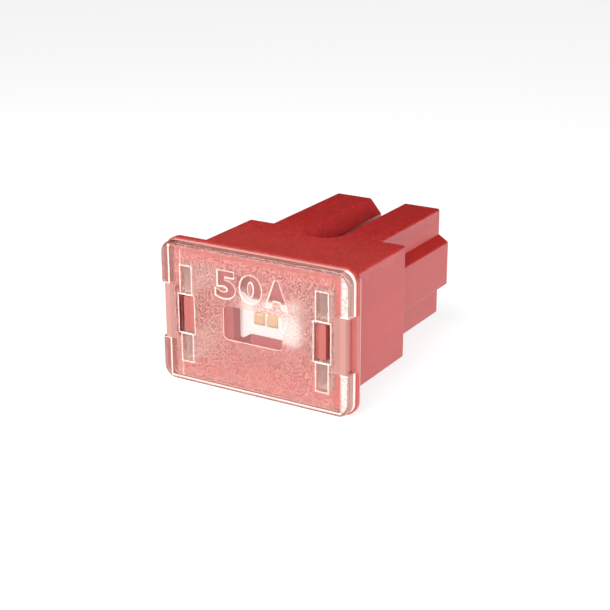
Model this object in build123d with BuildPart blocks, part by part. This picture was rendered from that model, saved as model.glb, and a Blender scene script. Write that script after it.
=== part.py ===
from build123d import *
import os
from math import atan2, degrees

# Automotive cartridge fuse with female sockets, lying on a long side. Millimetres.
# X runs along the width, Y from the window back to the sockets, Z up the height.
# The origin is the middle of the rear face of the flange, where the fuse stops in its holder.

# Flange of the housing
flange_width = 24.4
flange_height = 16.6
flange_thickness = 0.7
flange_radius = 1.7

# Box of the housing behind the flange
body_width = 20.7
body_height = 13.45
body_length = 13.8
body_edge = 0.35

# Two prongs behind the box, with the gap between them
prong_length = 15.4
prong_outer = 7.15
prong_edge = 0.3
prong_wall = 0.8
rib_reach = 1.27
rib_slope = 0.8
gap_half = 0.95
gap_mouth = 2.5
gap_bevel_depth = 1.86

# Chamber behind the window, and the sockets in the prongs
side_wall = 0.65
top_wall = 0.825
chamber_depth = 3.0
chamber_corner = 0.4
end_wall = 1.15
mouth_lip = 0.45
mouth_chamfer = 0.4
pocket_depth = 5.6
pocket_room = 0.5

# Cover: a clear tray whose open side stands on the flange
cover_overhang = 0.2
cover_depth = 1.3
plate_thickness = 0.7
cover_side_wall = 1.15
cover_top_wall = 0.5
cover_edge = 0.3
cover_inner_radius = 0.7
notch_height = 6.4
notch_inset = 0.5

# Snap fit of the cover, at each side of the window
snap_slot_width = 2.0
snap_slot_height = 4.4
snap_ledge = 0.25
snap_ledge_thickness = 0.35
tongue_thickness = 0.8
tongue_side_room = 0.2
tongue_recess = 0.12
leg_thickness = 1.5
leg_length = 5.4
leg_corner = 0.2
leg_wall_room = 0.3
leg_slot_room = 0.15

# Fuse element: one stamping of strip, a bridge in front and a terminal in each prong
strip = 0.5
bridge_front = 1.3
bridge_half = 3.95
bend_radius = 0.35
bridge_mid_height = 4.1
bridge_end_height = 5.4
waist_flat = 1.9
waist_end = 3.4
arm_widen_start = 5.5
arm_widen_end = 9.0

# Blade that the terminals take, and the terminal round it
blade_width = 8.0
blade_thickness = 0.8
blade_side_clearance = 0.2
terminal_start = 11.5
strap_length = 2.6
lip_width = 1.9
spring_width = 2.6
spring_thickness = 0.4
spring_side_room = 0.6
spring_bow_room = 0.67
spring_flare = 0.9
spring_bow_place = 0.38
spring_touch_place = 0.8
spring_lean = 0.8

# Pellet on the bridge and the two claws that clasp it
pellet_length = 3.1
pellet_height = 1.1
pellet_depth = 0.4
pellet_sunk = 0.2
claw_thickness = 0.2
claw_round = 0.3
claw_width = 1.25
claw_gap = 0.45

# Clearances between the pieces
slip = 0.05
snap_clearance = 0.1
terminal_side_room = 0.25
throat_room = 0.35

# Smallest length that counts as a difference when edges are picked
tiny = 0.01

cover_width = flange_width - 2 * cover_overhang
cover_height = flange_height - 2 * cover_overhang
window_front = -flange_thickness - cover_depth
plate_back = window_front + plate_thickness
prong_end = body_length + prong_length
prong_top = body_height / 2
chamber_half = body_width / 2 - side_wall
chamber_top = prong_top - top_wall

latch_centre = chamber_half - leg_wall_room - leg_thickness / 2
leg_bottom = snap_slot_height / 2 + leg_slot_room
leg_top = chamber_top - leg_wall_room
pocket_inner = latch_centre - leg_thickness / 2 - pocket_room
tongue_height = snap_slot_height - 2 * tongue_side_room
tongue_inner = latch_centre - tongue_thickness / 2

arm_inner = bridge_half - strip
lip_inner = bridge_half + blade_thickness
terminal_half = blade_width / 2 + blade_side_clearance + strip
spring_base = lip_inner + strip - spring_thickness / 2
socket_inner = arm_inner - 2 * slip
socket_outer = prong_outer - prong_wall
socket_half = terminal_half + terminal_side_room
socket_start = terminal_start - strip
socket_end = prong_end - end_wall
throat_outer = lip_inner + strip + throat_room
terminal_end = socket_end - slip
bulge_outer = prong_outer + rib_reach - prong_wall
bulge_half = spring_width / 2 + spring_side_room
bulge_start = terminal_start + slip
spring_bow = bulge_outer - spring_bow_room - spring_thickness / 2 - spring_base
pellet_middle = bridge_front + pellet_sunk - pellet_depth / 2
rib_tip = bulge_half + prong_wall
rib_root = rib_tip + rib_slope

os.makedirs("parts", exist_ok=True)


def across(depth):
    """Plane across the fuse at a depth behind the flange: sketch x is X, sketch y is Z."""
    return Plane.XZ.offset(-depth)


def mirrored(side, x, z):
    """Place in a cross sketch, on the left for side -1 and on the right for side 1."""
    return (side * x, z)


def on_box_side(edge):
    """Edge on the left or right side of the box, behind the flange."""
    at_side = abs(abs(edge.center().X) - body_width / 2) < tiny
    return at_side and 0 < edge.center().Y <= body_length


def on_box_outline(edge):
    """Edge on the outline of the box, beside the prongs."""
    centre = edge.center()
    at_side = abs(abs(centre.X) - body_width / 2) < tiny
    at_top = abs(abs(centre.Z) - prong_top) < tiny and abs(centre.X) > prong_outer
    return at_side or at_top


def on_prong_corner(edge):
    """Outward corner along a prong, which leaves out the roots of its rib."""
    centre = edge.center()
    return centre.Y > body_length and abs(abs(centre.Z) - rib_root) > tiny


# Housing: flange, box and prongs in one moulding
with BuildPart() as housing:
    with BuildSketch(across(0)):
        RectangleRounded(flange_width, flange_height, flange_radius)
    extrude(amount=flange_thickness)
    with BuildSketch(across(0)):
        Rectangle(body_width, body_height)
    extrude(amount=-body_length)

    # Prongs, each with a rib along the middle of its outer side
    with BuildSketch(across(body_length)):
        Rectangle(2 * prong_outer, body_height)
        with BuildLine():
            Polyline(
                (prong_outer, rib_root),
                (prong_outer + rib_reach, rib_tip),
                (prong_outer + rib_reach, -rib_tip),
                (prong_outer, -rib_root),
                close=True,
            )
        make_face()
        mirror(about=Plane.YZ)
    extrude(amount=-prong_length)
    long_edges = housing.edges().filter_by(Axis.Y)
    rear_edges = housing.edges().filter_by_position(Axis.Y, body_length, body_length)
    box_edges = long_edges.filter_by(on_box_side) + rear_edges.filter_by(on_box_outline)
    fillet(box_edges, body_edge)
    prong_edges = housing.edges().filter_by(Axis.Y).filter_by(on_prong_corner)
    fillet(prong_edges, prong_edge)
    fillet(housing.faces().sort_by(Axis.Y)[-1].outer_wire().edges(), prong_edge)

    # Gap between the prongs: a round-rooted slot, flared at the top and at the bottom
    flare_angle = degrees(atan2(gap_mouth - gap_half, gap_bevel_depth))
    flare_start = prong_top - gap_bevel_depth
    gap_reach = 2 * prong_length
    with BuildSketch(Plane.XY.offset(-prong_top)):
        with Locations((0, body_length + gap_reach / 2)):
            SlotCenterToCenter(gap_reach, 2 * gap_half, rotation=90)
    extrude(amount=body_height, mode=Mode.SUBTRACT)
    for plane in (Plane.XY.offset(flare_start), Plane.XY.offset(-flare_start)):
        outward = 1 if plane.origin.Z > 0 else -1
        with BuildSketch(plane):
            with Locations((0, body_length + gap_reach / 2)):
                SlotCenterToCenter(gap_reach, 2 * gap_half, rotation=90)
        extrude(amount=outward * gap_bevel_depth, taper=-flare_angle, mode=Mode.SUBTRACT)

    # Chamber behind the window
    with BuildSketch(across(-flange_thickness)):
        RectangleRounded(2 * chamber_half, 2 * chamber_top, chamber_corner)
    extrude(amount=-(flange_thickness + chamber_depth), mode=Mode.SUBTRACT)

    for side in (-1, 1):
        # Pocket for the legs of the cover
        pocket_width = chamber_half - pocket_inner
        with BuildSketch(across(chamber_depth)):
            with Locations(mirrored(side, pocket_inner + pocket_width / 2, 0)):
                Rectangle(pocket_width, 2 * chamber_top - chamber_corner)
        extrude(amount=-(pocket_depth - chamber_depth), mode=Mode.SUBTRACT)

        # Throat for the terminal, then its socket, with the room for the spring beside it
        with BuildSketch(across(chamber_depth)):
            with Locations(mirrored(side, (socket_inner + throat_outer) / 2, 0)):
                Rectangle(throat_outer - socket_inner, 2 * socket_half)
        extrude(amount=-(socket_end - chamber_depth), mode=Mode.SUBTRACT)
        with BuildSketch(across(socket_start)):
            with Locations(mirrored(side, (socket_inner + socket_outer) / 2, 0)):
                Rectangle(socket_outer - socket_inner, 2 * socket_half)
        extrude(amount=-(socket_end - socket_start), mode=Mode.SUBTRACT)
        with BuildSketch(across(bulge_start)):
            with Locations(mirrored(side, (socket_inner + bulge_outer) / 2, 0)):
                Rectangle(bulge_outer - socket_inner, 2 * bulge_half)
        extrude(amount=-(socket_end - bulge_start), mode=Mode.SUBTRACT)

        # Mouth for the blade, with a lip that the terminal stops against
        mouth_inner = socket_inner + mouth_lip
        mouth_outer = socket_outer - mouth_lip
        slot_outer = bulge_outer - mouth_lip
        with BuildSketch(across(prong_end)):
            with Locations(mirrored(side, (mouth_inner + mouth_outer) / 2, 0)):
                Rectangle(mouth_outer - mouth_inner, 2 * (socket_half - mouth_lip))
            with Locations(mirrored(side, (mouth_inner + slot_outer) / 2, 0)):
                Rectangle(slot_outer - mouth_inner, 2 * (bulge_half - mouth_lip))
        extrude(amount=end_wall, mode=Mode.SUBTRACT)
        mouth_face = housing.faces().filter_by(Axis.Y).group_by(Axis.Y)[-1].sort_by(Axis.X)
        mouth_wires = mouth_face[0 if side < 0 else -1].inner_wires()
        chamfer(mouth_wires.edges(), mouth_chamfer)

        # Land in the notch of the cover, which the plate rests on
        land_outer = cover_width / 2 - notch_inset
        land_width = land_outer - chamber_half - snap_clearance
        with BuildSketch(across(-flange_thickness)):
            with Locations(mirrored(side, land_outer - land_width / 2, 0)):
                Rectangle(land_width, notch_height - 2 * snap_clearance)
        extrude(amount=cover_depth - plate_thickness)

        # Snap tongue, with a barb that stands on the ledge in the slot of the cover
        barb_width = (snap_slot_width - tongue_thickness) / 2 - snap_clearance
        with BuildSketch(across(pocket_depth)):
            with Locations(mirrored(side, latch_centre, 0)):
                Rectangle(tongue_thickness, tongue_height)
        extrude(amount=pocket_depth - window_front - tongue_recess)
        barb_root = plate_back - snap_ledge_thickness
        barb_head = window_front + tongue_recess
        with BuildSketch(Plane.XY.offset(-tongue_height / 2)):
            with BuildLine():
                Polyline(
                    (side * tongue_inner, barb_root),
                    (side * (tongue_inner - barb_width), barb_root),
                    (side * tongue_inner, barb_head),
                    close=True,
                )
            make_face()
        extrude(amount=tongue_height)

# Cover: the tray, its notches and slots, and its legs
with BuildPart() as clear_cover:
    with BuildSketch(across(window_front)):
        RectangleRounded(cover_width, cover_height, flange_radius - cover_overhang)
    extrude(amount=-cover_depth)
    front_edges = clear_cover.faces().sort_by(Axis.Y)[0].edges()
    fillet(front_edges, cover_edge)
    with BuildSketch(across(plate_back)):
        RectangleRounded(
            cover_width - 2 * cover_side_wall,
            cover_height - 2 * cover_top_wall,
            cover_inner_radius,
        )
    extrude(amount=-(cover_depth - plate_thickness), mode=Mode.SUBTRACT)

    for side in (-1, 1):
        # Side notch: the plate is set back and the wall behind it is left out
        with BuildSketch(across(window_front)):
            with Locations(mirrored(side, cover_width / 2, 0)):
                Rectangle(2 * notch_inset, notch_height)
        extrude(amount=-cover_depth, mode=Mode.SUBTRACT)
        with BuildSketch(across(plate_back)):
            with Locations(mirrored(side, cover_width / 2, 0)):
                Rectangle(2 * cover_side_wall, notch_height)
        extrude(amount=-(cover_depth - plate_thickness), mode=Mode.SUBTRACT)

        # Slot for the snap tongue, narrower behind so that the barb has a ledge
        with BuildSketch(across(window_front)):
            with Locations(mirrored(side, latch_centre, 0)):
                Rectangle(snap_slot_width, snap_slot_height)
        extrude(amount=-(plate_thickness - snap_ledge_thickness), mode=Mode.SUBTRACT)
        with BuildSketch(across(window_front)):
            with Locations(mirrored(side, latch_centre, 0)):
                Rectangle(snap_slot_width - 2 * snap_ledge, snap_slot_height)
        extrude(amount=-plate_thickness, mode=Mode.SUBTRACT)

        # Two legs, above and below the tongue
        for up in (-1, 1):
            leg_middle = up * (leg_bottom + leg_top) / 2
            with BuildSketch(across(plate_back)):
                with Locations(mirrored(side, latch_centre, leg_middle)):
                    RectangleRounded(leg_thickness, leg_top - leg_bottom, leg_corner)
            extrude(amount=-leg_length)

# Fuse element: bridge, arms and terminals in one strip
with BuildPart() as fuse_element:
    # Strip bent into a U, seen from above, as tall as the terminals
    with BuildSketch(Plane.XY.offset(-terminal_half)):
        with BuildLine():
            Polyline(
                (-bridge_half, terminal_end),
                (-bridge_half, bridge_front),
                (bridge_half, bridge_front),
                (bridge_half, terminal_end),
                (arm_inner, terminal_end),
                (arm_inner, bridge_front + strip),
                (-arm_inner, bridge_front + strip),
                (-arm_inner, terminal_end),
                close=True,
            )
        make_face()
    extrude(amount=2 * terminal_half)
    bends = fuse_element.edges().filter_by(Axis.Z)
    fillet(bends.group_by(Axis.Y)[0], bend_radius + strip)
    fillet(bends.group_by(Axis.Y)[1], bend_radius)

    # Side outline of the arms: low at the bridge, as wide as the terminal behind
    end_half = bridge_end_height / 2
    waist_reach = 2 * strip + bend_radius + strip
    for up in (-1, 1):
        with BuildSketch(Plane.YZ.offset(-2 * bridge_half)):
            with BuildLine():
                Polyline(
                    (bridge_front - strip, up * end_half),
                    (arm_widen_start, up * end_half),
                    (arm_widen_end, up * terminal_half),
                    (arm_widen_end, up * 2 * terminal_half),
                    (bridge_front - strip, up * 2 * terminal_half),
                    close=True,
                )
            make_face()
        extrude(amount=4 * bridge_half, mode=Mode.SUBTRACT)

        # Waist of the bridge, where its top and bottom edges curve in
        with BuildSketch(across(bridge_front - strip)):
            with BuildLine():
                mid_half = up * bridge_mid_height / 2
                left = Spline(
                    (-waist_end, up * end_half),
                    (-waist_flat, mid_half),
                    tangents=((1, 0), (1, 0)),
                )
                right = Spline(
                    (waist_flat, mid_half),
                    (waist_end, up * end_half),
                    tangents=((1, 0), (1, 0)),
                )
                Line(left @ 1, right @ 0)
                Line(left @ 0, right @ 1)
            make_face()
        extrude(amount=-waist_reach, mode=Mode.SUBTRACT)

    for side in (-1, 1):
        # Terminal round the blade: two side flanges, a strap across, and lips
        flange_reach = blade_thickness + strip
        flange_middle = terminal_half - strip / 2
        lip_middle = terminal_half - lip_width / 2
        terminal_middle = (terminal_start + terminal_end) / 2
        for up in (-1, 1):
            with BuildSketch(Plane.YZ.offset(side * bridge_half)):
                with Locations((terminal_middle, up * flange_middle)):
                    Rectangle(terminal_end - terminal_start, strip)
            extrude(amount=side * flange_reach)
            with BuildSketch(Plane.YZ.offset(side * lip_inner)):
                with Locations((terminal_middle, up * lip_middle)):
                    Rectangle(terminal_end - terminal_start, lip_width)
            extrude(amount=side * strip)
        with BuildSketch(Plane.YZ.offset(side * lip_inner)):
            with Locations((terminal_start + strap_length / 2, 0)):
                Rectangle(strap_length, 2 * terminal_half)
        extrude(amount=side * strip)

        # Contact spring: bows out into the rib of the prong, then in to the blade
        root_depth = terminal_start + strap_length - strip
        reach = terminal_end - root_depth
        with BuildLine(Plane.XY) as spring_path:
            Spline(
                (side * spring_base, root_depth),
                (side * (spring_base + spring_bow), root_depth + spring_bow_place * reach),
                (side * (spring_base - slip), root_depth + spring_touch_place * reach),
                (side * (spring_base + spring_flare), terminal_end - strip),
                tangents=((0, 1), (side * spring_lean, 1)),
            )
        with BuildSketch(across(root_depth)):
            with Locations((side * spring_base, 0)):
                Rectangle(spring_thickness, spring_width)
        sweep(path=spring_path.wires()[0])

    # Claws folded over the pellet, from the front face of the bridge
    pellet_proud = pellet_depth - pellet_sunk
    claw_reach = pellet_proud + claw_thickness
    claw_middle = (claw_gap + claw_width) / 2
    for side in (-1, 1):
        with BuildSketch(Plane.YZ.offset(side * claw_middle - claw_width / 2)):
            with Locations((bridge_front - claw_reach / 2, 0)):
                Rectangle(claw_reach, pellet_height + 2 * claw_thickness)
        extrude(amount=claw_width)
    claw_front = fuse_element.edges().filter_by(Axis.X).group_by(Axis.Y)[0]
    fillet(claw_front, claw_round)
    with BuildSketch(Plane.YZ.offset(-pellet_length / 2)):
        with Locations((pellet_middle, 0)):
            Rectangle(pellet_depth, pellet_height)
    extrude(amount=pellet_length, mode=Mode.SUBTRACT)

# Low-melting pellet, in the claws on the front of the bridge
with BuildPart() as tin_pellet:
    with BuildSketch(Plane.YZ.offset(-pellet_length / 2)):
        with Locations((pellet_middle, 0)):
            Rectangle(pellet_depth, pellet_height)
    extrude(amount=pellet_length)

housing.part.label = "housing"
clear_cover.part.label = "clear_cover"
fuse_element.part.label = "fuse_element"
tin_pellet.part.label = "tin_pellet"
export_step(housing.part, "parts/housing.step")
export_step(clear_cover.part, "parts/clear_cover.step")
export_step(fuse_element.part, "parts/fuse_element.step")
export_step(tin_pellet.part, "parts/tin_pellet.step")
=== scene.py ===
"""Looks of a push-in automotive cartridge fuse that lies on its long side on a pale table.

The solids come packed, in metres: X along the window's long side, Y from the window back
through the prongs, Z up, with the origin in the middle of the rear face of the flange.
"""

from math import cos, radians, sin

import bmesh
import bpy
from bpy.props import FloatProperty, FloatVectorProperty, PointerProperty
from mathutils import Matrix, Vector


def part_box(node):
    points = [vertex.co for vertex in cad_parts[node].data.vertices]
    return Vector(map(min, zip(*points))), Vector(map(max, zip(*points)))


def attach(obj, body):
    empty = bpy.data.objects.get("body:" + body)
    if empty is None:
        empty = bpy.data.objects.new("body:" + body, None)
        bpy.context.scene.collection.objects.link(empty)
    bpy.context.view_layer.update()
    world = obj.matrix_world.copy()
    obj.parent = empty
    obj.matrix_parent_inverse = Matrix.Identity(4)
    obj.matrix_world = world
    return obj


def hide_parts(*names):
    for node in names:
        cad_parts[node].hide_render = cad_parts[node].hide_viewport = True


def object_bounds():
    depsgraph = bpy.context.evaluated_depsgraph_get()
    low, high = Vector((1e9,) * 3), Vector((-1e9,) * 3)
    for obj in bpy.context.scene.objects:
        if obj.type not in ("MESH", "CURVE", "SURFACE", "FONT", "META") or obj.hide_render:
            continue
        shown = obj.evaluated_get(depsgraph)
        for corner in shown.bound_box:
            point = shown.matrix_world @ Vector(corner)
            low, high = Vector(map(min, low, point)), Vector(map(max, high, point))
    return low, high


bl_info = {
    "name": "Cartridge fuse looks",
    "version": (1, 0, 0),
    "blender": (4, 5, 0),
    "location": "View3D > Sidebar > Fuse",
    "description": "Dresses the cartridge fuse: moulded housing, clear cover and tinned element",
    "category": "Object",
}

MM = 0.001

# The rating's figures, each with its left and right edge in millimetres, and their weight
RATING = (("5", -4.85, -2.05), ("0", -1.7, 1.3), ("A", 1.5, 4.65))
LETTER_WEIGHT = 0.07

# A cutter starts this far in front of the window plane, and its slope just in front of it
PROUD = 0.3 * MM
SLOPE_LEAD = 0.01 * MM
CORNER_STEPS = 36

# Rectangles on the cover's face, repeated in all four quarters: centre and half size
SLOT = ((8.65 * MM, 0), (1.0 * MM, 2.2 * MM))
LEG = ((8.65 * MM, 3.975 * MM), (0.7 * MM, 1.58 * MM))
# Short painted highlight strokes, used on the left near the top and bottom only
LEFT_GLINT = ((9.35 * MM, 6.5 * MM), (0.05 * MM, 0.9 * MM))
NOTCH = ((11.3 * MM, 0), (0.5 * MM, 3.2 * MM))
NOTCH_HALF_HEIGHT = NOTCH[1][1]
PANEL = ((0, 0), (10.8 * MM, 7.55 * MM))
PLATE = ((0, 0), (10.85 * MM, 7.6 * MM))
LINE = 0.1 * MM
CRISP = 0.02 * MM

# Half width, half height, front and end of the chamber behind the window, where a painted glow
# lifts the shade
CHAMBER_HALF = (9.9 * MM, 6.1 * MM)
CHAMBER_FRONT, CHAMBER_END = 1.5 * MM, 13.5 * MM

# Half width, half height and front plane of the two claws
CLAWS_HALF = (1.55 * MM, 0.85 * MM)
CLAWS_END = 1.26 * MM

# Name, place, size and power in watts of each light
LIGHTS = (
    ("front_light", (0.14, -0.52, 0.10), 0.35, 2.7),
    ("right_light", (0.55, 0.08, 0.06), 0.40, 3.35),
    ("top_light", (-0.03, -0.07, 0.13), 0.12, 0.32),
)

# View from the right and above, as the photograph's edges give it, focal length in pixels
AZIMUTH, ELEVATION, ROLL = radians(30.92), radians(19.9), radians(-0.16)
TARGET = Vector((-0.58, 10.0, -1.21)) * MM
DISTANCE = 161.09 * MM
FOCAL_LENGTH, IMAGE_WIDTH, SENSOR_WIDTH = 1399.6, 610, 36.0

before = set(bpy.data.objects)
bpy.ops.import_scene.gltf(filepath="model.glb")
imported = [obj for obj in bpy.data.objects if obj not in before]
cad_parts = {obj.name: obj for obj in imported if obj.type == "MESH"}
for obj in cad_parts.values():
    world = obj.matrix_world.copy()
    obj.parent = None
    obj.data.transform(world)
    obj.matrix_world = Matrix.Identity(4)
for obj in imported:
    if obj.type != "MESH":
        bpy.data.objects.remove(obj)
solid_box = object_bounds()
window_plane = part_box("clear_cover")[0].y


class FuseSizes(bpy.types.PropertyGroup):
    """Sizes of what the cover's face carries."""

    figure_bottom: FloatProperty(
        name="Figure bottom", description="Height of the rating's base line above the middle",
        default=2.6 * MM, unit="LENGTH",
    )
    figure_height: FloatProperty(
        name="Figure height", description="Height of the rating's figures",
        default=3.4 * MM, unit="LENGTH",
    )
    figure_depth: FloatProperty(
        name="Figure depth", description="How far the figures are let into the cover",
        default=0.06 * MM, unit="LENGTH",
    )
    figure_rim: FloatProperty(
        name="Figure rim", description="Width of the bright slope round each figure",
        default=0.17 * MM, unit="LENGTH",
    )
    window_width: FloatProperty(
        name="Window width", description="Width of the polished window",
        default=7.6 * MM, unit="LENGTH",
    )
    window_height: FloatProperty(
        name="Window height", description="Height of the polished window",
        default=4.0 * MM, unit="LENGTH",
    )
    window_corner: FloatProperty(
        name="Window corner", description="Corner radius of the polished window",
        default=0.6 * MM, unit="LENGTH",
    )
    window_depth: FloatProperty(
        name="Window depth", description="How far the window is let into the cover",
        default=0.05 * MM, unit="LENGTH",
    )
    window_rim: FloatProperty(
        name="Window rim", description="Width of the bright slope round the window",
        default=0.06 * MM, unit="LENGTH",
    )
    frost_half_width: FloatProperty(
        name="Frost half width", description="Half the width of the frosted panel",
        default=10.1 * MM, unit="LENGTH",
    )
    frost_half_height: FloatProperty(
        name="Frost half height", description="Half the height of the frosted panel",
        default=7.2 * MM, unit="LENGTH",
    )


class FuseColours(bpy.types.PropertyGroup):
    """Colours of the fuse and of the table, as linear values."""

    nylon: FloatVectorProperty(
        name="Nylon", description="Red of the moulded housing", subtype="COLOR",
        default=(0.455, 0.014, 0.012), min=0, max=1,
    )
    # Deep nylon also serves as the painted shade towards the far ends of the prong tops.
    nylon_deep: FloatVectorProperty(
        name="Deep nylon", description="Darker red of the flow marks", subtype="COLOR",
        default=(0.325, 0.008, 0.007), min=0, max=1,
    )
    # Painted sheen: this paler red is laid on the snap tongues and the front of the top, where
    # light glances off the satin nylon.
    nylon_painted_sheen: FloatVectorProperty(
        name="Scuffed nylon", description="Paler red of the snap tongues and of worn faces",
        subtype="COLOR", default=(0.36, 0.075, 0.056), min=0, max=1,
    )
    # The inside red is also the colour of the chamber's painted glow, though no lamp is there.
    nylon_inside_glow: FloatVectorProperty(
        name="Inside nylon", description="Red of the chamber behind the window", subtype="COLOR",
        default=(0.23, 0.022, 0.020), min=0, max=1,
    )
    tin: FloatVectorProperty(
        name="Tin", description="Bright tin plating", subtype="COLOR",
        default=(0.93, 0.92, 0.90), min=0, max=1,
    )
    copper: FloatVectorProperty(
        name="Copper", description="Bare copper of the claws", subtype="COLOR",
        default=(0.70, 0.465, 0.255), min=0, max=1,
    )
    clear: FloatVectorProperty(
        name="Clear plastic", description="Tint of the cover", subtype="COLOR",
        default=(0.99, 0.985, 0.98), min=0, max=1,
    )
    frost: FloatVectorProperty(
        name="Frost", description="Bloom of the cover's frosted face", subtype="COLOR",
        default=(0.50, 0.225, 0.19), min=0, max=1,
    )
    # Rim cream is also laid on as painted highlights: on the cover's edges, lugs, legs and face
    # strokes, on the slopes round the figures and the window, and on the flange's edge and notch
    # ledges.
    rim: FloatVectorProperty(
        name="Rim", description="Cream of the cover's edges, where they catch the light",
        subtype="COLOR", default=(0.86, 0.78, 0.70), min=0, max=1,
    )
    table: FloatVectorProperty(
        name="Table", description="Pale table top", subtype="COLOR",
        default=(0.86, 0.86, 0.86), min=0, max=1,
    )


class Value:
    """A number in a material: Python's operators add Math nodes."""

    def __init__(self, tree, socket):
        self.tree = tree
        self.socket = socket

    def math(self, operation, *terms):
        node = self.tree.nodes.new("ShaderNodeMath")
        node.operation = operation
        for place, term in zip(node.inputs, terms):
            if isinstance(term, Value):
                self.tree.links.new(term.socket, place)
            else:
                place.default_value = term
        return Value(self.tree, node.outputs[0])

    def __add__(self, other):
        return self.math("ADD", self, other)

    __radd__ = __add__

    def __sub__(self, other):
        return self.math("SUBTRACT", self, other)

    def __rsub__(self, other):
        return self.math("SUBTRACT", other, self)

    def __mul__(self, other):
        return self.math("MULTIPLY", self, other)

    __rmul__ = __mul__

    def __abs__(self):
        return self.math("ABSOLUTE", self)

    def at_least(self, limit):
        return self.math("MAXIMUM", self, limit)

    def at_most(self, limit):
        return self.math("MINIMUM", self, limit)

    def below(self, limit, soft):
        """1 where the value is under the limit, 0 above, over a soft step."""
        rise = (limit - self) * (1 / soft) + 0.5
        return rise.at_least(0).at_most(1)


class Finish:
    """A node material that is built from expressions."""

    def __init__(self, name):
        self.material = bpy.data.materials.new(name)
        self.material.use_nodes = True
        self.tree = self.material.node_tree
        self.tree.nodes.clear()
        self.output = self.tree.nodes.new("ShaderNodeOutputMaterial")
        self.place = self.node("ShaderNodeTexCoord").outputs["Object"]
        split = self.node("ShaderNodeSeparateXYZ", Vector=self.place)
        self.x, self.y, self.z = (Value(self.tree, socket) for socket in split.outputs)

    def node(self, kind, settings=None, **inputs):
        """Adds a node, sets its settings first, then feeds or sets its sockets by name."""
        node = self.tree.nodes.new(kind)
        for key, setting in (settings or {}).items():
            setattr(node, key, setting)
        for key, fed in inputs.items():
            self.feed(node.inputs[key.replace("_", " ")], fed)
        return node

    def feed(self, place, fed):
        if isinstance(fed, Value):
            fed = fed.socket
        if isinstance(fed, bpy.types.NodeSocket):
            self.tree.links.new(fed, place)
        else:
            place.default_value = fed

    def noise(self, scale, detail=2.0, roughness=0.5, stretch=(1, 1, 1)):
        """Noise of a given number of grains a metre, drawn out along an axis by stretch."""
        moved = self.node("ShaderNodeMapping", Vector=self.place, Scale=stretch)
        texture = self.node(
            "ShaderNodeTexNoise", Vector=moved.outputs[0], Scale=scale, Detail=detail,
            Roughness=roughness,
        )
        return Value(self.tree, texture.outputs["Fac"])

    def cells(self, scale):
        """Random shades of fine cells, of a given number a metre."""
        texture = self.node("ShaderNodeTexVoronoi", Vector=self.place, Scale=scale)
        return Value(self.tree, texture.outputs["Color"])

    def blend(self, share, first, second):
        """Colour from first to second by a share."""
        mix = self.node("ShaderNodeMix", {"data_type": "RGBA"})
        self.feed(mix.inputs["Factor"], share)
        self.feed(mix.inputs[6], first)
        self.feed(mix.inputs[7], second)
        return mix.outputs[2]

    def mix(self, share, first, second):
        """Shader from first to second by a share."""
        node = self.node("ShaderNodeMixShader")
        for place, fed in zip(node.inputs, (share, first, second)):
            self.feed(place, fed)
        return node.outputs[0]

    def rectangle(self, centre, half):
        """1 on a rectangle of the face, repeated in all four quarters."""
        across, up = abs(abs(self.x) - centre[0]), abs(abs(self.z) - centre[1])
        return across.below(half[0], CRISP) * up.below(half[1], CRISP)

    def outline(self, centre, half, width):
        """1 on a line of a given width round such a rectangle."""
        wider = self.rectangle(centre, (half[0] + width, half[1] + width))
        return wider * (1 - self.rectangle(centre, half))

    def rounded(self, half, corner, soft):
        """1 on a rectangle round the middle of the face, with rounded corners."""
        reach = 0
        for along, half_size in ((self.x, half[0]), (self.z, half[1])):
            over = (abs(along) - (half_size - corner)).at_least(0)
            reach = over * over + reach
        return reach.below(corner * corner, 2 * corner * soft)

    def spot(self, centre, radius, soft):
        """1 round a place on the face, fading out over the soft part of the radius."""
        across, up = self.x - centre[0], self.z - centre[1]
        return (across * across + up * up).below(radius * radius, 2 * radius * soft)

    def relief(self, height, distance, strength=1.0):
        """Normal of a fine relief of a given height in metres."""
        bump = self.node("ShaderNodeBump", Height=height, Distance=distance, Strength=strength)
        return bump.outputs[0]

    def finish(self, shader):
        self.tree.links.new(shader, self.output.inputs["Surface"])
        return self.material


def solid_colour(colour):
    return (*colour, 1.0)


def ray_kinds(tree):
    """Shares of the rays that see straight, also through the clear cover, and of mirrored ones."""
    path = tree.nodes.new("ShaderNodeLightPath")
    camera, glossy, through = (
        Value(tree, path.outputs[name])
        for name in ("Is Camera Ray", "Is Glossy Ray", "Is Transmission Ray")
    )
    return camera.at_least(through), glossy


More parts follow.
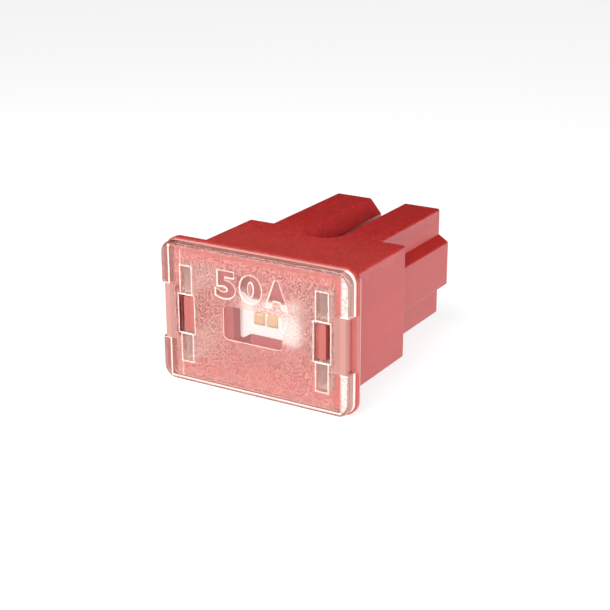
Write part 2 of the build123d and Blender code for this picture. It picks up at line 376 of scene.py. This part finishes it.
def red_nylon(colours):
    """Moulded nylon: satin, with a fine spark-eroded grain and faint flow marks; with painted
    sheen on the snap tongues and the front of the top, painted shade towards the far ends of the
    prongs, a painted glow in the chamber behind the window, and painted highlights on the flange's
    edge and in the notches.
    """
    made = Finish("red_nylon")
    grain = made.noise(3900, detail=1.0, roughness=0.6)
    flow = made.noise(420, detail=3.0, stretch=(1.0, 0.12, 1.0))
    cloud = made.noise(130, detail=2.0)

    soft = 0.1 * MM
    # Painted glow: the chamber behind the window gets a deeper red and glows in it, which fills
    # the shade cast inside it.
    chamber = abs(made.x).below(CHAMBER_HALF[0], soft) * abs(made.z).below(CHAMBER_HALF[1], soft)
    chamber = chamber * made.y.below(CHAMBER_END, 2 * soft)
    chamber = chamber * (1 - made.y.below(CHAMBER_FRONT, 1.5 * MM))
    on_top = 1 - made.z.below(5.5 * MM, 2 * MM)
    # Painted light: the front of the top is paler, where the light falls on it most.
    top_front_light = on_top * made.y.below(12 * MM, 8 * MM)
    # Painted shade: the top darkens towards the far ends of the prongs.
    top_end_shade = on_top * (1 - made.y.below(14 * MM, 6 * MM))
    # Painted sheen on the snap tongues, seen through the cover's slots.
    tongue_sheen = made.rectangle(*SLOT) * made.y.below(0, soft)
    # Painted highlight: the flange's face seen in the notches is paled with cream, as if lit.
    notch_ledge_highlight = abs(made.z).below(NOTCH_HALF_HEIGHT, soft) * made.y.below(-0.3 * MM, soft)
    notch_ledge_highlight = notch_ledge_highlight * (1 - abs(made.x).below(NOTCH[0][0] - NOTCH[1][0], soft))
    # Painted highlight: a thin cream line along the flange's rear right edge.
    flange_edge_highlight = 1 - made.x.below(12.08 * MM, CRISP)
    flange_edge_highlight = flange_edge_highlight * (1 - made.y.below(-0.2 * MM, 0.05 * MM))

    mottle = on_top * (3.2 * made.cells(3500) - 1.6)
    deep = flow * 0.5 + cloud * 0.5 + mottle + 0.8 * top_end_shade
    colour = made.blend(
        deep.below(0.5, 0.8), solid_colour(colours.nylon_deep), solid_colour(colours.nylon)
    )
    # Painted sheen, the chamber's red and painted highlights, laid over the moulded colour.
    for share, other in (
        (0.85 * tongue_sheen + 0.2 * top_front_light, colours.nylon_painted_sheen),
        (chamber, colours.nylon_inside_glow),
        (0.3 * flange_edge_highlight + 0.13 * notch_ledge_highlight, colours.rim),
    ):
        colour = made.blend(share, colour, solid_colour(other))
    shader = made.node(
        "ShaderNodeBsdfPrincipled",
        Base_Color=colour,
        Roughness=0.35 + 0.1 * flow,
        IOR=1.53,
        Specular_IOR_Level=1.0,
        # The chamber glows, though no lamp is there: painted light that fills its shade.
        Emission_Color=made.blend(chamber, (0, 0, 0, 1), solid_colour(colours.nylon_inside_glow)),
        Emission_Strength=0.8,
        Normal=made.relief(0.7 * grain + 0.5 * flow, 0.02 * MM, 0.6),
    )
    return made.finish(shader.outputs[0])


def painted_highlight_lines(made, wall, right):
    """Painted highlight strokes on the cover's face, where its edges catch the light: round slots,
    legs, panel and notches, and short strokes on the left near top and bottom.
    """
    left, low = made.x.below(-10.7 * MM, LINE), made.z.below(-7.5 * MM, LINE)
    beside_notch = 1 - abs(made.z).below(NOTCH_HALF_HEIGHT, CRISP)
    panel_line = made.outline(*PANEL, 2 * LINE) * beside_notch * left.at_least(low)
    notch_line = made.outline(*NOTCH, LINE) * wall
    left_glint_line = made.rectangle(*LEFT_GLINT) * (1 - right) * made.x.below(0, LINE)
    return (
        0.7 * made.outline(*SLOT, 1.4 * LINE)
        + 0.8 * made.outline(*LEG, 1.4 * LINE)
        + 0.7 * (panel_line + notch_line + left_glint_line)
    )


def clear_polycarbonate(sizes, colours):
    """Clear cover: polished, but for the frosted panel, with painted highlights of cream bloom on
    its edges, lugs, legs, right side, notch faces and face strokes, and painted gleams near the
    window.
    """
    made = Finish("clear_polycarbonate")
    front = made.y.below(window_plane + 0.02 * MM, 0.01 * MM)
    in_width = abs(made.x).below(sizes.frost_half_width, 0.25 * MM)
    in_height = abs(made.z).below(sizes.frost_half_height, 0.25 * MM)
    clear = made.rectangle(*LEG) + made.rectangle(*SLOT)
    frosted = front * in_width * in_height * (1 - clear)

    notch = abs(made.z).below(NOTCH_HALF_HEIGHT, CRISP)
    # Painted sheen on the cover's faces in the notches.
    notch_face_sheen = notch * (1 - abs(made.x).below(10.1 * MM, 0.05 * MM))
    wall = 1 - made.rectangle(*PLATE)
    right = 1 - made.x.below(PLATE[1][0], CRISP)
    # Painted highlight on the right side, which faces the right light.
    right_side_highlight = right * (1 - front)
    rear = 1 - made.y.below(-1.2 * MM, 0.05 * MM)
    # Painted highlight: cream bloom round the rear edges, stronger on the right.
    edge_highlight = rear * (1 - made.rounded((11.9 * MM, 8.0 * MM), 1.9 * MM, CRISP))
    # Painted highlight: the lugs are whitened, as if lit.
    lug_highlight = front * (1 - notch) * (1 - made.x.below(10.95 * MM, 0.3 * MM))
    lug_highlight = lug_highlight * made.rounded((11.75 * MM, 7.95 * MM), 1.7 * MM, 0.15 * MM)
    # Painted light: the legs behind the plate get pale bloom, so they read as lit.
    legs_painted_light = (1 - made.y.below(-0.4 * MM, 0.2 * MM)) * abs(made.x).below(10.5 * MM, 0.1 * MM)
    top_band = 1 - made.z.below(7.62 * MM, 0.05 * MM)
    top_band = front * top_band * made.z.below(8.05 * MM, 0.1 * MM)
    # Painted highlight: two soft pale spots near the window.
    painted_gleam = made.spot((4.7 * MM, 0.3 * MM), 1.5 * MM, 1.1 * MM)
    painted_gleam = painted_gleam + made.spot((-0.6 * MM, 2.4 * MM), 0.8 * MM, 0.8 * MM)
    window_floor = made.y.below(window_plane + 0.055 * MM, 0.004 * MM)
    figure_floor = made.y.below(window_plane + 0.08 * MM, 0.004 * MM) * (1 - window_floor)
    # Painted highlight strokes round the slots, legs, panel and notches.
    highlight_lines = front * painted_highlight_lines(made, wall, right)

    speckle = made.cells(8000)
    blotch = made.noise(2600, detail=1.0)
    haze, pale = 0.04, 0
    # Place, how hazy the plastic is there, and how far its bloom goes from frost to cream
    for place, haziness, paleness in (
        (frosted, 2.2 * speckle - 0.9, None),
        (front, 0.22, None),
        (wall, 0.12, None),
        (figure_floor, 0.15, None),
        (edge_highlight, 0.45 + 0.25 * right, 0.55 + 0.45 * right),
        (lug_highlight, blotch - 0.28, 1),
        (highlight_lines, 1, 0.85),
        (legs_painted_light, 0.85, 0.6),
        (right_side_highlight, 0.25, 0.3 * (1 - notch)),
        (top_band, 1.2 * speckle - 0.62, 0.15),
        (notch_face_sheen, 0.38, 0.05),
        (painted_gleam, None, 0.45),
    ):
        if haziness is not None:
            haze = haze + place * haziness
        if paleness is not None:
            pale = pale + place * paleness

    glass = made.node(
        "ShaderNodeBsdfPrincipled",
        Base_Color=solid_colour(colours.clear),
        Roughness=0.015 + frosted * (0.36 + 0.2 * speckle),
        IOR=1.585,
        Transmission_Weight=1.0,
    )
    bloom = made.node(
        "ShaderNodeBsdfPrincipled",
        Base_Color=made.blend(
            pale.at_most(1), solid_colour(colours.frost), solid_colour(colours.rim)
        ),
        Roughness=0.6,
    )
    share = haze.at_most(0.95).at_least(0.04 + 0.1 * frosted)
    body = made.mix(share, glass.outputs[0], bloom.outputs[0])
    lamp_light = made.node("ShaderNodeBsdfTransparent", Color=(0.93, 0.92, 0.92, 1))
    shadow = made.node("ShaderNodeLightPath").outputs["Is Shadow Ray"]
    return made.finish(made.mix(shadow, body, lamp_light.outputs[0]))


def painted_highlight_rim(colours):
    """Slope round what is let into the cover: painted cream as a highlight all round, where it
    would catch the light.
    """
    made = Finish("painted_highlight_rim")
    grain = made.noise(5000, detail=1.0)
    shader = made.node(
        "ShaderNodeBsdfPrincipled",
        Base_Color=made.blend(
            0.2 + 0.6 * grain, solid_colour(colours.rim), solid_colour(colours.frost)
        ),
        Roughness=0.3 + 0.2 * grain,
        IOR=1.585,
    )
    return made.finish(shader.outputs[0])


def tinned_copper(colours):
    """Bright tin over copper strip, rolled along the strip, with bare copper claws, and a faint
    painted glow of tin on the front part of the element.
    """
    made = Finish("tinned_copper")
    rolled = made.noise(1500, detail=3.0, stretch=(0.2, 0.2, 1.0))
    mottle = made.noise(700, detail=2.0)
    bare = abs(made.x).below(CLAWS_HALF[0], 0.08 * MM) * made.y.below(CLAWS_END, 0.04 * MM)
    bare = bare * abs(made.z).below(CLAWS_HALF[1], 0.05 * MM)
    plating = made.blend(mottle, solid_colour(colours.tin), (0.82, 0.81, 0.78, 1))
    # Painted glow: the front part of the element glows faintly in tin, to brighten it.
    bridge_glow = made.y.below(2.2 * MM, 0.3 * MM) * (1 - bare)
    shader = made.node(
        "ShaderNodeBsdfPrincipled",
        Base_Color=made.blend(bare, plating, solid_colour(colours.copper)),
        Metallic=1.0,
        Roughness=0.44 + 0.12 * mottle + 0.06 * rolled,
        Emission_Color=made.blend(bridge_glow, (0, 0, 0, 1), solid_colour(colours.tin)),
        Emission_Strength=0.12,
        Normal=made.relief(rolled + 0.4 * mottle, 0.006 * MM, 0.6),
    )
    return made.finish(shader.outputs[0])


def soft_tin(colours):
    """Cast tin pellet: dull, with a slightly uneven skin."""
    made = Finish("soft_tin")
    skin = made.noise(1800, detail=3.0)
    shader = made.node(
        "ShaderNodeBsdfPrincipled",
        Base_Color=made.blend(skin, solid_colour(colours.tin), (0.70, 0.69, 0.67, 1)),
        Metallic=1.0,
        Roughness=0.34 + 0.2 * skin,
        Normal=made.relief(skin, 0.02 * MM, 0.7),
    )
    return made.finish(shader.outputs[0])


def table_top(colours):
    """Pale table that shows as white where light falls on it, and keeps a soft shadow."""
    made = Finish("table_top")
    fleck = made.noise(60, detail=1.0)
    tone = made.blend(fleck, solid_colour(colours.table), (0.9, 0.9, 0.9, 1))
    matt = made.node("ShaderNodeBsdfPrincipled", Base_Color=tone, Roughness=0.9)
    faint = made.node("ShaderNodeBsdfDiffuse", Color=(0.3, 0.3, 0.3, 1))
    glow = made.node("ShaderNodeEmission", Color=(0.8, 0.8, 0.8, 1), Strength=1.0)
    white = made.node("ShaderNodeEmission", Color=(1, 1, 1, 1), Strength=1.2)
    seen = made.node("ShaderNodeAddShader")
    made.feed(seen.inputs[0], faint.outputs[0])
    made.feed(seen.inputs[1], glow.outputs[0])
    straight, glossy = ray_kinds(made.tree)
    shown = made.mix(straight, matt.outputs[0], seen.outputs[0])
    return made.finish(made.mix(glossy, shown, white.outputs[0]))


def dress(node, material):
    """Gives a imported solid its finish."""
    slots = node.data.materials
    slots.clear()
    slots.append(material)


def linked(name, mesh):
    """Object for a mesh, in the scene."""
    made = bpy.data.objects.new(name, mesh)
    bpy.context.scene.collection.objects.link(made)
    return made


def sunk_cutter(shape, depth, rim):
    """Cutter for a flat outline in front of the window plane, with a sloping rim."""
    pushed = bmesh.ops.extrude_face_region(shape, geom=list(shape.faces))
    far = [v for v in pushed["geom"] if isinstance(v, bmesh.types.BMVert)]
    bmesh.ops.translate(shape, verts=far, vec=(0, PROUD - SLOPE_LEAD, 0))
    bmesh.ops.recalc_face_normals(shape, faces=shape.faces)
    floor = [f for f in pushed["geom"] if isinstance(f, bmesh.types.BMFace)]
    slope = bmesh.ops.inset_region(
        shape, faces=floor, thickness=rim, depth=0, use_even_offset=True, use_boundary=True
    )
    # The slope takes the second slot, the cream of the painted highlight rim.
    for face in slope["faces"]:
        face.material_index = 1
    inner = {v for f in floor for v in f.verts}
    bmesh.ops.translate(shape, verts=list(inner), vec=(0, depth + SLOPE_LEAD, 0))
    mesh = bpy.data.meshes.new("cutter")
    shape.to_mesh(mesh)
    shape.free()
    return linked("cutter", mesh)


def figure_cutter(figure, left, right, sizes):
    """Cutter for one plain figure of the rating."""
    text = bpy.data.curves.new("figure", "FONT")
    text.body = figure
    text.offset = LETTER_WEIGHT
    text.resolution_u = 6
    text.fill_mode = "FRONT"
    holder = linked("figure", text)
    bpy.context.view_layer.update()
    depsgraph = bpy.context.evaluated_depsgraph_get()
    flat = bpy.data.meshes.new_from_object(holder.evaluated_get(depsgraph))
    bpy.data.objects.remove(holder)
    shape = bmesh.new()
    shape.from_mesh(flat)
    bpy.data.meshes.remove(flat)
    bmesh.ops.remove_doubles(shape, verts=shape.verts, dist=0.0005)
    low = Vector((min(v.co.x for v in shape.verts), min(v.co.y for v in shape.verts), 0))
    high = Vector((max(v.co.x for v in shape.verts), max(v.co.y for v in shape.verts), 0))
    wide = (right - left) / (high.x - low.x)
    tall = sizes.figure_height / (high.y - low.y)
    bmesh.ops.translate(shape, verts=shape.verts, vec=-low)
    bmesh.ops.scale(shape, verts=shape.verts, vec=(wide, tall, 1))
    bmesh.ops.dissolve_limit(
        shape, angle_limit=radians(1), verts=shape.verts, edges=shape.edges
    )
    corner = (left, window_plane - PROUD, sizes.figure_bottom)
    upright = Matrix.Translation(corner) @ Matrix.Rotation(radians(90), 4, "X")
    bmesh.ops.transform(shape, matrix=upright, verts=shape.verts)
    return sunk_cutter(shape, sizes.figure_depth, sizes.figure_rim)


def window_cutter(sizes):
    """Cutter for the polished window."""
    shape = bmesh.new()
    across = sizes.window_width / 2 - sizes.window_corner
    up = sizes.window_height / 2 - sizes.window_corner
    ring = []
    for step in range(CORNER_STEPS):
        turn = radians(360 / CORNER_STEPS * (step + 0.5))
        x = (across if cos(turn) > 0 else -across) + sizes.window_corner * cos(turn)
        z = (up if sin(turn) > 0 else -up) + sizes.window_corner * sin(turn)
        ring += bmesh.ops.create_vert(shape, co=(x, window_plane - PROUD, z))["vert"]
    bmesh.ops.contextual_create(shape, geom=ring)
    return sunk_cutter(shape, sizes.window_depth, sizes.window_rim)


def cut_away(body, cutters):
    """Takes the cutters out of a body and applies it."""
    for cutter in cutters:
        change = body.modifiers.new("cut", "BOOLEAN")
        change.operation = "DIFFERENCE"
        change.solver = "EXACT"
        change.object = cutter
    bpy.context.view_layer.update()
    depsgraph = bpy.context.evaluated_depsgraph_get()
    cut = bpy.data.meshes.new_from_object(body.evaluated_get(depsgraph))
    body.modifiers.clear()
    old = body.data
    body.data = cut
    bpy.data.meshes.remove(old)
    for cutter in cutters:
        bpy.data.objects.remove(cutter)


class FUSE_OT_housing(bpy.types.Operator):
    """Finishes the red moulded housing"""

    bl_idname = "fuse.housing"
    bl_label = "Housing"

    def execute(self, context):
        dress(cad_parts["housing"], red_nylon(context.scene.fuse_colours))
        return {"FINISHED"}


class FUSE_OT_cover(bpy.types.Operator):
    """Makes the clear cover, with its rating and its polished window let into the face"""

    bl_idname = "fuse.cover"
    bl_label = "Clear cover"

    def execute(self, context):
        sizes = context.scene.fuse_sizes
        shape = bmesh.new()
        shape.from_mesh(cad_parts["clear_cover"].data)
        bmesh.ops.remove_doubles(shape, verts=shape.verts, dist=0.0005 * MM)
        mesh = bpy.data.meshes.new("cover_with_rating")
        shape.to_mesh(mesh)
        shape.free()
        cover = linked("cover_with_rating", mesh)
        mesh.materials.clear()
        mesh.materials.append(clear_polycarbonate(sizes, context.scene.fuse_colours))
        mesh.materials.append(painted_highlight_rim(context.scene.fuse_colours))
        whole = len(mesh.polygons)
        cutters = [
            figure_cutter(figure, left * MM, right * MM, sizes) for figure, left, right in RATING
        ]
        cut_away(cover, cutters + [window_cutter(sizes)])
        faces = cover.data.polygons
        if len(faces) < whole or not any(face.material_index for face in faces):
            raise RuntimeError("the rating wasn't let into the cover")
        faces.foreach_set("use_smooth", [False] * len(faces))
        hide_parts("clear_cover")
        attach(cover, "root")
        return {"FINISHED"}


class FUSE_OT_element(bpy.types.Operator):
    """Finishes the stamped element and the pellet in its claws"""

    bl_idname = "fuse.element"
    bl_label = "Element and pellet"

    def execute(self, context):
        colours = context.scene.fuse_colours
        dress(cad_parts["fuse_element"], tinned_copper(colours))
        dress(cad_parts["tin_pellet"], soft_tin(colours))
        return {"FINISHED"}


def soft_light(name, place, target, size, power):
    """Square soft light that faces a target."""
    data = bpy.data.lights.new(name, "AREA")
    data.shape = "SQUARE"
    data.size = size
    data.energy = power
    lamp = linked(name, data)
    lamp.location = place
    lamp.rotation_euler = (target - place).to_track_quat("-Z", "Y").to_euler()


def lay_table(scene):
    """Large flat table top at the lowest point of the fuse."""
    shape = bmesh.new()
    bmesh.ops.create_grid(shape, x_segments=1, y_segments=1, size=1.5)
    bmesh.ops.translate(shape, verts=shape.verts, vec=(0, 0.3, solid_box[0][2]))
    mesh = bpy.data.meshes.new("table_top")
    shape.to_mesh(mesh)
    shape.free()
    table = linked("table_top", mesh)
    mesh.materials.append(table_top(scene.fuse_colours))


def white_background(tree, strength):
    node = tree.nodes.new("ShaderNodeBackground")
    node.inputs["Color"].default_value = (1, 1, 1, 1)
    node.inputs["Strength"].default_value = strength
    return node.outputs[0]


def light_world(scene):
    """Dim even light, dimmer where it is mirrored, and white where it is looked at."""
    world = bpy.data.worlds.new("studio")
    scene.world = world
    world.use_nodes = True
    tree = world.node_tree
    tree.nodes.clear()
    straight, glossy = ray_kinds(tree)
    around = white_background(tree, 0.18)
    for share, strength in ((glossy, 0.03), (straight, 1.0)):
        mix = tree.nodes.new("ShaderNodeMixShader")
        tree.links.new(share.socket, mix.inputs[0])
        tree.links.new(around, mix.inputs[1])
        tree.links.new(white_background(tree, strength), mix.inputs[2])
        around = mix.outputs[0]
    output = tree.nodes.new("ShaderNodeOutputWorld")
    tree.links.new(around, output.inputs["Surface"])


def aim_camera(scene):
    """Camera with the photograph's angle, distance and focal length."""
    out = Vector((sin(AZIMUTH) * cos(ELEVATION), -cos(AZIMUTH) * cos(ELEVATION), sin(ELEVATION)))
    data = bpy.data.cameras.new("camera")
    data.sensor_width = SENSOR_WIDTH
    data.lens = SENSOR_WIDTH * FOCAL_LENGTH / IMAGE_WIDTH
    data.clip_start = 0.01
    camera = linked("camera", data)
    camera.location = TARGET + DISTANCE * out
    level = out.to_track_quat("Z", "Y").to_matrix().to_4x4()
    camera.rotation_euler = (level @ Matrix.Rotation(ROLL, 4, "Z")).to_euler()
    scene.camera = camera


class FUSE_OT_stage(bpy.types.Operator):
    """Sets the table, the light and the camera"""

    bl_idname = "fuse.stage"
    bl_label = "Table, light and camera"

    def execute(self, context):
        scene = context.scene
        lay_table(scene)
        middle = Vector((0, 10 * MM, 0))
        for name, place, size, power in LIGHTS:
            soft_light(name, Vector(place), middle, size, power)
        light_world(scene)
        aim_camera(scene)
        scene.view_settings.view_transform = "Standard"
        return {"FINISHED"}


class FUSE_PT_looks(bpy.types.Panel):
    """Lists the fuse's pieces and its stage."""

    bl_label = "Cartridge fuse"
    bl_space_type = "VIEW_3D"
    bl_region_type = "UI"
    bl_category = "Fuse"

    def draw(self, context):
        for operator in (FUSE_OT_housing, FUSE_OT_cover, FUSE_OT_element, FUSE_OT_stage):
            self.layout.operator(operator.bl_idname)
        for group in (context.scene.fuse_sizes, context.scene.fuse_colours):
            for name in group.__annotations__:
                self.layout.prop(group, name)


classes = (
    FuseSizes,
    FuseColours,
    FUSE_OT_housing,
    FUSE_OT_cover,
    FUSE_OT_element,
    FUSE_OT_stage,
    FUSE_PT_looks,
)


def register():
    for item in classes:
        bpy.utils.register_class(item)
    bpy.types.Scene.fuse_sizes = PointerProperty(type=FuseSizes)
    bpy.types.Scene.fuse_colours = PointerProperty(type=FuseColours)


def unregister():
    del bpy.types.Scene.fuse_colours
    del bpy.types.Scene.fuse_sizes
    for item in reversed(classes):
        bpy.utils.unregister_class(item)


def main():
    register()
    bpy.ops.fuse.housing()
    bpy.ops.fuse.cover()
    bpy.ops.fuse.element()
    bpy.ops.fuse.stage()


if __name__ == "__main__":
    main()
